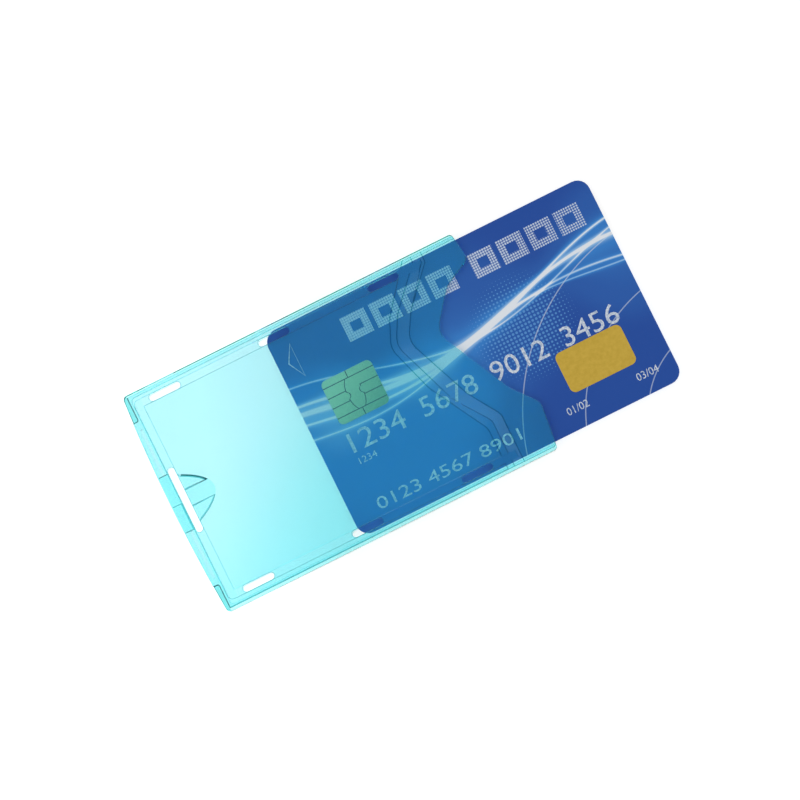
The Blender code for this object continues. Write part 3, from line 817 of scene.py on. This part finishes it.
middle = from_tile_middle(tree, both, DOT_PITCH, "DISTANCE")
field = soft_spot(tree, x, y, *DOT_FIELD)
dot_radius = chain(tree, field, ("MULTIPLY", DOT_RADIUS))
dots = chain(
    tree,
    dot_radius,
    ("SUBTRACT", middle.outputs["Value"]),
    ("MULTIPLY", EDGE_SHARPNESS),
    ("MINIMUM", DOT_STRENGTH),
    ("MAXIMUM", 0.0),
)
unlit = chain(tree, light, ("MULTIPLY_ADD", -1.6, 1.6), ("MAXIMUM", 0.0), ("MINIMUM", 1.0))
dots = chain(tree, dots, ("MULTIPLY", unlit))

away = add(
    tree, "ShaderNodeVectorMath", {0: both, 1: (*RING_MIDDLE, 0.0)}, operation="DISTANCE"
)
rings = chain(
    tree,
    away.outputs["Value"],
    ("PINGPONG", RING_PITCH),
    ("SUBTRACT", RING_PITCH - RING_HALF_WIDTH),
    ("MULTIPLY", EDGE_SHARPNESS),
    ("MAXIMUM", 0.0),
    ("MINIMUM", RING_STRENGTH),
)
near_rings = chain(tree, away.outputs["Value"], ("LESS_THAN", RING_REACH), ("MULTIPLY", rings))
print("rings within reach:", int(RING_REACH / RING_PITCH / 2), "at", 2 * RING_PITCH, "mm")

# %% Halftone blocks in a row along the top
BLOCK_PITCH = 7.6
BLOCK_HALF_LENGTH = 3.2
BLOCK_HALF_HEIGHT = 3.1
HOLE_HALF_LENGTH = 1.4
HOLE_HALF_HEIGHT = 1.2
ROW_HEIGHT = 19.3
ROW_MIDDLE = 6.9
ROW_GAP = 2.3
ROW_END = 32.0
HALFTONE_PITCH = 0.62
HALFTONE_HALF_SIDE, HALFTONE_TAPER = 0.40, -0.002
BLOCK_STRENGTH = 0.9
DOT_COLOUR = "#6FB4F0"
PALE_COLOUR = "#D6E4F6"

square = from_tile_middle(tree, both, HALFTONE_PITCH, "SUBTRACT")
square = add(tree, "ShaderNodeVectorMath", {0: square.outputs[0]}, operation="ABSOLUTE")
sides = add(tree, "ShaderNodeSeparateXYZ", {"Vector": square.outputs[0]})
half_side = chain(tree, x, ("MULTIPLY_ADD", HALFTONE_TAPER, HALFTONE_HALF_SIDE))
halftone = chain(
    tree, sides.outputs["X"], ("MAXIMUM", sides.outputs["Y"]), ("LESS_THAN", half_side)
)
from_middle = chain(tree, x, ("SUBTRACT", ROW_MIDDLE), ("ABSOLUTE",))
along = chain(
    tree,
    from_middle,
    ("SUBTRACT", ROW_GAP),
    ("DIVIDE", BLOCK_PITCH),
    ("FRACT",),
    ("MULTIPLY", BLOCK_PITCH),
    ("SUBTRACT", BLOCK_HALF_LENGTH),
    ("ABSOLUTE",),
)
over = chain(tree, y, ("SUBTRACT", ROW_HEIGHT), ("ABSOLUTE",))
in_row = chain(tree, from_middle, ("LESS_THAN", ROW_END))
off_gap = chain(tree, from_middle, ("GREATER_THAN", ROW_GAP))
past_hole = chain(tree, over, ("GREATER_THAN", HOLE_HALF_HEIGHT))
outside_hole = chain(tree, along, ("GREATER_THAN", HOLE_HALF_LENGTH), ("MAXIMUM", past_hole))
row = chain(
    tree,
    along,
    ("LESS_THAN", BLOCK_HALF_LENGTH),
    ("MULTIPLY", chain(tree, over, ("LESS_THAN", BLOCK_HALF_HEIGHT))),
    ("MULTIPLY", in_row),
    ("MULTIPLY", off_gap),
    ("MULTIPLY", outside_hole),
    ("MULTIPLY", halftone),
    ("MULTIPLY", BLOCK_STRENGTH),
)

with_dots = add(
    tree,
    "ShaderNodeMix",
    {"Factor": dots, 6: ink.outputs[0], 7: linear(DOT_COLOUR)},
    data_type="RGBA",
)
pale = chain(tree, near_rings, ("MAXIMUM", row))
printed = add(
    tree,
    "ShaderNodeMix",
    {"Factor": pale, 6: with_dots.outputs["Result"], 7: linear(PALE_COLOUR)},
    data_type="RGBA",
)
print("halftone blocks on each side of the gap:", round((ROW_END - ROW_GAP) / BLOCK_PITCH))

# %% [markdown]
# The ink lies only on the card's face. The film's cut edge shows the white sheet under it. The
# clear film on top isn't quite flat: a faint bump and an uneven gloss break its reflections.

# %% The face and the cut edge
CUT_EDGE_COLOUR = "#D8DCE6"

facing = add(tree, "ShaderNodeNewGeometry")
upright = add(tree, "ShaderNodeSeparateXYZ", {"Vector": facing.outputs["Normal"]})
on_face = chain(tree, upright.outputs["Z"], ("GREATER_THAN", 0.5))
coloured = add(
    tree,
    "ShaderNodeMix",
    {"Factor": on_face, 6: linear(CUT_EDGE_COLOUR), 7: printed.outputs["Result"]},
    data_type="RGBA",
)
fine_waves = add(
    tree, "ShaderNodeTexNoise", {"Vector": both, "Scale": 0.9, "Detail": 3.0, "Roughness": 0.6}
)
film_bump = add(
    tree,
    "ShaderNodeBump",
    {"Strength": 0.04, "Distance": 0.02 * MM, "Height": fine_waves.outputs[0]},
)
film_gloss = add(
    tree,
    "ShaderNodeMapRange",
    {"Value": fine_waves.outputs[0], "To Min": 0.16, "To Max": 0.26},
)
face = add(
    tree,
    "ShaderNodeBsdfPrincipled",
    {
        "Base Color": coloured.outputs["Result"],
        "Roughness": film_gloss.outputs[0],
        "IOR": 1.5,
        "Coat Weight": 0.4,
        "Coat Roughness": 0.08,
        "Normal": film_bump.outputs[0],
    },
)
add(tree, "ShaderNodeOutputMaterial", {"Surface": face.outputs[0]})


def dress(material, *node_names):
    """Gives CAD nodes their finished material."""
    for node_name in node_names:
        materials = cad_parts[node_name].data.materials
        materials.clear()
        materials.append(material)
    print(material.name, "on", len(node_names), "of the card's pieces")


dress(blue_print, "card_front_overlay")

# %% [markdown]
# ## White PVC cores, back film and inlays
#
# The two core sheets are punched from white PVC and show only as a thin line round the card's edge,
# where the cut leaves a faint grain. The film on the back is printed plain blue, a little paler
# towards the lower side.

# %% Cores and back
white_core, tree = new_material("white_pvc_core_die_cut")
x, y, both = card_millimetres(tree)
grain = add(tree, "ShaderNodeTexNoise", {"Vector": both, "Scale": 6.0, "Detail": 4.0})
tone = add(tree, "ShaderNodeValToRGB", {"Fac": grain.outputs[0]})
tone.color_ramp.elements[0].color = linear("#DADDE2")
tone.color_ramp.elements[1].color = linear("#F2F3F6")
pvc = add(
    tree,
    "ShaderNodeBsdfPrincipled",
    {"Base Color": tone.outputs[0], "Roughness": 0.5, "IOR": 1.53},
)
add(tree, "ShaderNodeOutputMaterial", {"Surface": pvc.outputs[0]})
dress(white_core, "card_front_core", "card_back_core")

back_print, tree = new_material("plain_back_print_under_clear_film")
x, y, both = card_millimetres(tree)
spot = soft_spot(tree, x, y, (20.0, -18.0), 50.0)
tone = add(tree, "ShaderNodeValToRGB", {"Fac": spot})
tone.color_ramp.elements[0].color = linear("#23418F")
tone.color_ramp.elements[1].color = linear("#4F83CF")
back_face = add(
    tree,
    "ShaderNodeBsdfPrincipled",
    {"Base Color": tone.outputs[0], "Roughness": 0.2, "IOR": 1.5, "Coat Weight": 0.4},
)
add(tree, "ShaderNodeOutputMaterial", {"Surface": back_face.outputs[0]})
dress(back_print, "card_back_overlay")

# %% [markdown]
# ## The chip's contacts
#
# The contacts are copper foil plated with nickel and a thin layer of gold, split into separate
# plates by etched lines. Under the turquoise plastic the gold has to look as green as photographed,
# so its own colours lean to green, and outside the sleeve it is a pale green. A painted sheen makes
# it paler to the upper left. Its grain makes the gloss uneven. The tape that carries the contacts
# is woven glass in brown epoxy, and shows in the lines between them.

# %% Gold plating
CHIP_MIDDLE = (-27.0, 4.0)
PAINTED_SHEEN_SLOPE = 0.045

gold, tree = new_material("hard_gold_plating_on_foil")
x, y, both = card_millimetres(tree)
grain = add(tree, "ShaderNodeTexNoise", {"Vector": both, "Scale": 5.0, "Detail": 5.0})
# Painted sheen: the tone rises towards the upper left.
rightwards = chain(tree, x, ("SUBTRACT", CHIP_MIDDLE[0]))
upwards = chain(tree, y, ("SUBTRACT", CHIP_MIDDLE[1]), ("SUBTRACT", rightwards))
lit = chain(tree, upwards, ("MULTIPLY_ADD", PAINTED_SHEEN_SLOPE, grain.outputs[0]))
tone = add(tree, "ShaderNodeValToRGB", {"Fac": lit})
tone.color_ramp.elements[0].color = linear("#9CC488")
tone.color_ramp.elements[1].color = linear("#DCFFC8")
sheen = add(
    tree, "ShaderNodeMapRange", {"Value": grain.outputs[0], "To Min": 0.3, "To Max": 0.5}
)
plating = add(
    tree,
    "ShaderNodeBsdfPrincipled",
    {"Base Color": tone.outputs[0], "Roughness": sheen.outputs[0], "Metallic": 0.75},
)
add(tree, "ShaderNodeOutputMaterial", {"Surface": plating.outputs[0]})
dress(gold, *[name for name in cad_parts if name.startswith("contact_")])

tape, tree = new_material("glass_epoxy_tape")
x, y, both = card_millimetres(tree)
weave = add(tree, "ShaderNodeTexNoise", {"Vector": both, "Scale": 8.0, "Detail": 4.0})
tone = add(tree, "ShaderNodeValToRGB", {"Fac": weave.outputs[0]})
tone.color_ramp.elements[0].color = linear("#3A331C")
tone.color_ramp.elements[1].color = linear("#6B5E33")
epoxy = add(
    tree, "ShaderNodeBsdfPrincipled", {"Base Color": tone.outputs[0], "Roughness": 0.55}
)
add(tree, "ShaderNodeOutputMaterial", {"Surface": epoxy.outputs[0]})
dress(tape, "chip_carrier")

# %% Amber foil
amber, tree = new_material("hot_stamped_amber_foil")
x, y, both = card_millimetres(tree)
grain = add(tree, "ShaderNodeTexNoise", {"Vector": both, "Scale": 1.2, "Detail": 4.0})
tone = add(tree, "ShaderNodeValToRGB", {"Fac": grain.outputs[0]})
tone.color_ramp.elements[0].color = linear("#D0AA34")
tone.color_ramp.elements[1].color = linear("#ECC852")
foil = add(
    tree,
    "ShaderNodeBsdfPrincipled",
    {"Base Color": tone.outputs[0], "Roughness": 0.35, "Metallic": 0.3, "Coat Weight": 0.5},
)
add(tree, "ShaderNodeOutputMaterial", {"Surface": foil.outputs[0]})
dress(amber, "foil_patch")

# %% [markdown]
# ## What the card hides
#
# Under the contacts sit the chip itself and the drop of black resin that guards its wires, and the
# card's back carries a magnetic stripe and a strip to sign on. The photograph doesn't show them, so
# they get the usual finishes: sawn silicon with its circuit blocks, cured resin with a faint orange
# peel, iron oxide in lacquer with marks from the reader, and white screen ink with fine hatching.

# %% Silicon and resin
silicon, tree = new_material("silicon_die_with_metal_layers")
x, y, both = card_millimetres(tree)
cells = add(
    tree,
    "ShaderNodeTexBrick",
    {
        "Vector": both,
        "Color1": linear("#6A6F86"),
        "Color2": linear("#8C83A0"),
        "Mortar": linear("#3B3F4E"),
        "Scale": 4.0,
        "Mortar Size": 0.03,
    },
)
die_face = add(
    tree,
    "ShaderNodeBsdfPrincipled",
    {"Base Color": cells.outputs["Color"], "Roughness": 0.22, "Metallic": 0.7},
)
add(tree, "ShaderNodeOutputMaterial", {"Surface": die_face.outputs[0]})
dress(silicon, "chip_die")

resin, tree = new_material("black_epoxy_resin_cured_in_a_drop")
x, y, both = card_millimetres(tree)
peel = add(tree, "ShaderNodeTexNoise", {"Vector": both, "Scale": 3.0, "Detail": 3.0})
tone = add(tree, "ShaderNodeValToRGB", {"Fac": peel.outputs[0]})
tone.color_ramp.elements[0].color = linear("#121214")
tone.color_ramp.elements[1].color = linear("#26262A")
peel_bump = add(
    tree,
    "ShaderNodeBump",
    {"Strength": 0.2, "Distance": 0.02 * MM, "Height": peel.outputs[0]},
)
drop = add(
    tree,
    "ShaderNodeBsdfPrincipled",
    {"Base Color": tone.outputs[0], "Roughness": 0.3, "Normal": peel_bump.outputs[0]},
)
add(tree, "ShaderNodeOutputMaterial", {"Surface": drop.outputs[0]})
dress(resin, "chip_encapsulant")

# %% Magnetic stripe and signature strip
oxide, tree = new_material("iron_oxide_stripe_hot_rolled_onto_film")
x, y, both = card_millimetres(tree)
drawn_out = add(tree, "ShaderNodeMapping", {"Vector": both, "Scale": (0.05, 3.0, 1.0)})
scuffs = add(
    tree,
    "ShaderNodeTexNoise",
    {"Vector": drawn_out.outputs[0], "Scale": 2.0, "Detail": 4.0},
)
tone = add(tree, "ShaderNodeValToRGB", {"Fac": scuffs.outputs[0]})
tone.color_ramp.elements[0].color = linear("#17130F")
tone.color_ramp.elements[1].color = linear("#3A322B")
scuff_gloss = add(
    tree, "ShaderNodeMapRange", {"Value": scuffs.outputs[0], "To Min": 0.22, "To Max": 0.42}
)
stripe = add(
    tree,
    "ShaderNodeBsdfPrincipled",
    {"Base Color": tone.outputs[0], "Roughness": scuff_gloss.outputs[0]},
)
add(tree, "ShaderNodeOutputMaterial", {"Surface": stripe.outputs[0]})
dress(oxide, "magnetic_stripe")

HATCH_PITCH = 0.8
HATCH_FROM = 0.82
HATCH_STRENGTH = 0.5

sign_ink, tree = new_material("white_screen_ink_to_sign_on")
x, y, both = card_millimetres(tree)
hatch = chain(
    tree,
    x,
    ("ADD", y),
    ("DIVIDE", HATCH_PITCH),
    ("FRACT",),
    ("GREATER_THAN", HATCH_FROM),
    ("MULTIPLY", HATCH_STRENGTH),
)
ink_tone = add(
    tree,
    "ShaderNodeMix",
    {"Factor": hatch, 6: linear("#F1F0EA"), 7: linear("#A9C1DD")},
    data_type="RGBA",
)
paper_ink = add(
    tree,
    "ShaderNodeBsdfPrincipled",
    {"Base Color": ink_tone.outputs["Result"], "Roughness": 0.75},
)
add(tree, "ShaderNodeOutputMaterial", {"Surface": paper_ink.outputs[0]})
dress(sign_ink, "signature_panel")

# %% [markdown]
# ## Embossed digits
#
# A card number is embossed and its tops are tipped with silver foil. Plain counting digits stand
# here, a few hundredths of a millimetre proud of the film. They start as text, are turned into a
# mesh in place and ride with the card. The mark that tells which end to insert is a thin raised
# triangle: a circle of three corners, inset, with its middle taken out.

# %% Digits and the insert mark
CARD_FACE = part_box("card_front_overlay")[1][2]
PROUD = 0.03 * MM
DIGIT_ROWS = (
    # text, left end, foot, height, length (millimetres from the card's middle)
    ("1234", -35.5, -8.1, 4.9, 14.5),
    ("5678", -16.5, -8.1, 4.9, 14.5),
    ("9012", 2.2, -8.1, 4.9, 14.5),
    ("3456", 21.1, -8.1, 4.9, 14.5),
    ("1234", -35.3, -11.1, 1.6, 4.6),
    ("01/02", 14.2, -23.0, 1.9, 5.6),
    ("03/04", 32.7, -23.0, 1.9, 5.6),
    ("0123 4567 8901", -36.0, -23.0, 3.0, 38.0),
)

silver, tree = new_material("silver_foil_tipping_on_embossed_digits")
x, y, both = card_millimetres(tree)
worn = add(tree, "ShaderNodeTexNoise", {"Vector": both, "Scale": 2.2, "Detail": 5.0})
tone = add(tree, "ShaderNodeValToRGB", {"Fac": worn.outputs[0]})
tone.color_ramp.elements[0].position = 0.35
tone.color_ramp.elements[0].color = linear("#A9BEDA")
tone.color_ramp.elements[1].position = 0.6
tone.color_ramp.elements[1].color = linear("#EAF1FA")
tipping = add(
    tree,
    "ShaderNodeBsdfPrincipled",
    {"Base Color": tone.outputs[0], "Roughness": 0.4, "Metallic": 0.25},
)
add(tree, "ShaderNodeOutputMaterial", {"Surface": tipping.outputs[0]})


def on_card(name, mesh, material):
    """Links a mesh made in millimetres from the card's middle as a piece on the card."""
    place = Matrix.Translation((CARD_MIDDLE_X, 0, CARD_FACE)) @ Matrix.Scale(MM, 4)
    mesh.transform(place)
    mesh.materials.clear()
    mesh.materials.append(material)
    piece = bpy.data.objects.new(name, mesh)
    bpy.context.scene.collection.objects.link(piece)
    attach(piece, "card")
    return piece


def digit_mesh(text, left, foot, height, length):
    """Digits as a thin closed mesh of an exact height and length."""
    curve = bpy.data.curves.new("digits", "FONT")
    curve.body = text
    curve.extrude = 0.5
    curve.resolution_u = 3
    guide = bpy.data.objects.new("digits", curve)
    bpy.context.scene.collection.objects.link(guide)
    bpy.context.view_layer.update()
    graph = bpy.context.evaluated_depsgraph_get()
    mesh = bpy.data.meshes.new_from_object(guide.evaluated_get(graph))
    bpy.data.objects.remove(guide)
    lows = [min(vert.co[axis] for vert in mesh.vertices) for axis in range(2)]
    highs = [max(vert.co[axis] for vert in mesh.vertices) for axis in range(2)]
    wide = length / (highs[0] - lows[0])
    tall = height / (highs[1] - lows[1])
    place = Matrix.Translation((left, foot, 0)) @ Matrix.Diagonal((wide, tall, PROUD / MM, 1))
    mesh.transform(place @ Matrix.Translation((-lows[0], -lows[1], 0.5)))
    return mesh


for number, row in enumerate(DIGIT_ROWS, 1):
    piece = on_card(f"card_digits_{number}", digit_mesh(*row), silver)
    print(piece.name, len(piece.data.polygons), "faces")

MARK_CORNERS = 3
MARK_SIZE = 3.0
MARK_STRETCH = (0.55, 1.68, 1.0)
MARK_PLACE = (-38.6, 18.1)
MARK_LINE = 0.3

mark = bmesh.new()
bmesh.ops.create_circle(mark, cap_ends=True, segments=MARK_CORNERS, radius=MARK_SIZE)
bmesh.ops.rotate(mark, verts=mark.verts, matrix=Matrix.Rotation(math.radians(90), 3, "Z"))
bmesh.ops.scale(mark, verts=mark.verts, vec=MARK_STRETCH)
middle_face = mark.faces[:]
bmesh.ops.inset_individual(mark, faces=middle_face, thickness=MARK_LINE)
bmesh.ops.delete(mark, geom=middle_face, context="FACES")
raised = bmesh.ops.extrude_face_region(mark, geom=mark.faces)
corners = [item for item in raised["geom"] if isinstance(item, bmesh.types.BMVert)]
bmesh.ops.translate(mark, verts=corners, vec=(0, 0, PROUD / MM))
bmesh.ops.translate(mark, verts=mark.verts, vec=(*MARK_PLACE, 0))
bmesh.ops.recalc_face_normals(mark, faces=mark.faces)
mark_mesh = bpy.data.meshes.new("card_insert_mark")
mark.to_mesh(mark_mesh)
mark.free()
mark_piece = on_card("card_insert_mark", mark_mesh, silver)
print(mark_piece.name, len(mark_piece.data.polygons), "faces")

# %% [markdown]
# ## Floor and light
#
# The photograph was made on a light table: the white under the sleeve is bright by itself, so there
# is no shadow, the slots show pure white and the plastic is lit through from below. Soft light from
# all round falls on the card, and the plain dim ceiling above the camera shows in level faces,
# which keeps the blue deep.

# %% Light table
TABLE_DROP = 0.05 * MM
TABLE_HALF = 1.5
HAZE_SCALE = 60.0
GLOW_STRONG = 1.02
GLOW_WEAK = 0.76
GLOW_FROM, GLOW_TO = 32.0, 2.0
GLOW_DIRECTION = Vector((-0.96, 0.27, 0.0)) / MM

table_shape = bmesh.new()
bmesh.ops.create_grid(table_shape, x_segments=1, y_segments=1, size=TABLE_HALF)
bmesh.ops.translate(table_shape, verts=table_shape.verts, vec=(0, 0, -TABLE_DROP))
table_mesh = bpy.data.meshes.new("light_table")
table_shape.to_mesh(table_mesh)
table_shape.free()
table = bpy.data.objects.new("light_table", table_mesh)
bpy.context.scene.collection.objects.link(table)
table_white, tree = new_material("white_acrylic_light_table")
place = add(tree, "ShaderNodeTexCoord")
across_table = add(
    tree,
    "ShaderNodeVectorMath",
    {0: place.outputs["Object"], 1: GLOW_DIRECTION},
    operation="DOT_PRODUCT",
)
glow_level = add(
    tree,
    "ShaderNodeMapRange",
    {
        "Value": across_table.outputs["Value"],
        "From Min": GLOW_FROM,
        "From Max": GLOW_TO,
        "To Min": GLOW_STRONG,
        "To Max": GLOW_WEAK,
    },
)
haze = add(tree, "ShaderNodeTexNoise", {"Vector": place.outputs["Object"], "Scale": HAZE_SCALE})
sheet_tone = add(tree, "ShaderNodeValToRGB", {"Fac": haze.outputs[0]})
sheet_tone.color_ramp.elements[0].color = linear("#A0A0A0")
sheet_tone.color_ramp.elements[1].color = linear("#A8A8A8")
acrylic = add(
    tree,
    "ShaderNodeBsdfPrincipled",
    {
        "Base Color": sheet_tone.outputs[0],
        "Roughness": 0.9,
        "Emission Color": linear("#FFFFFF"),
        "Emission Strength": glow_level.outputs[0],
    },
)
add(tree, "ShaderNodeOutputMaterial", {"Surface": acrylic.outputs[0]})
table_mesh.materials.append(table_white)
print("light table glows from", GLOW_WEAK, "to", GLOW_STRONG)

# %% Soft light of the studio
world = bpy.data.worlds.new("studio")
bpy.context.scene.world = world
world.use_nodes = True
sky = world.node_tree
sky.nodes.clear()
direction = add(sky, "ShaderNodeTexCoord")
height = add(sky, "ShaderNodeSeparateXYZ", {"Vector": direction.outputs["Generated"]})
walls = add(sky, "ShaderNodeValToRGB", {"Fac": height.outputs["Z"]})
walls.color_ramp.interpolation = "EASE"
# From the horizon up to the ceiling right over the camera, as strengths of grey light
levels = walls.color_ramp.elements
levels[0].position, levels[0].color = 0.0, (0.22, 0.22, 0.22, 1.0)
levels[1].position, levels[1].color = 0.988, (0.12, 0.12, 0.12, 1.0)
for position, level in ((0.30, 0.75), (0.75, 1.0), (0.955, 0.6)):
    levels.new(position).color = (level, level, level, 1.0)
SKY_STRENGTH = 1.0
glow = add(
    sky,
    "ShaderNodeBackground",
    {"Color": walls.outputs[0], "Strength": SKY_STRENGTH},
)
add(sky, "ShaderNodeOutputWorld", {"Surface": glow.outputs[0]})
bpy.context.scene.view_settings.view_transform = "Standard"
print("levels of light from the horizon up:", len(levels))
